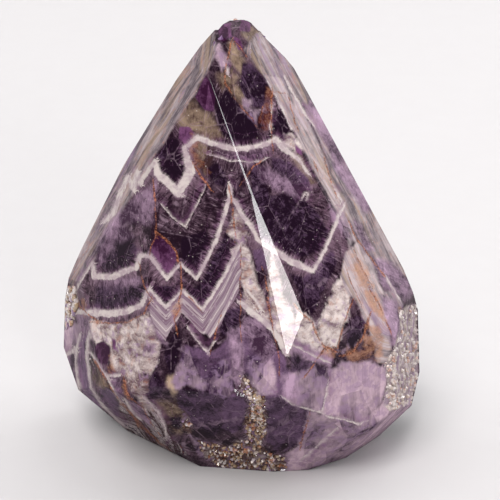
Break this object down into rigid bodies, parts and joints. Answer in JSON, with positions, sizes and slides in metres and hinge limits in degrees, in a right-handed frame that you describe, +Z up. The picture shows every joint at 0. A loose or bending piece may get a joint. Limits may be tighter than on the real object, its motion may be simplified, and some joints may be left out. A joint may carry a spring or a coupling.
{
  "type": "polished chevron amethyst freeform",
  "caption": "Pear-shaped amethyst stone with polished flat facets, a rough crystal tip and a flat sawn base, standing upright.",
  "frame": {"origin": "under the middle of the stone, on its flat sawn base", "axes": "+Z up towards the tip, -Y towards the front with the large banded facets, +X to the right seen from the front"},
  "size_m": [0.1076, 0.0902, 0.1307],
  "materials": {
    "amethyst": "polished, with rough natural patches"
  },
  "bodies": {
    "root": {"chevron_amethyst": "amethyst"}
  },
  "joints": []
}
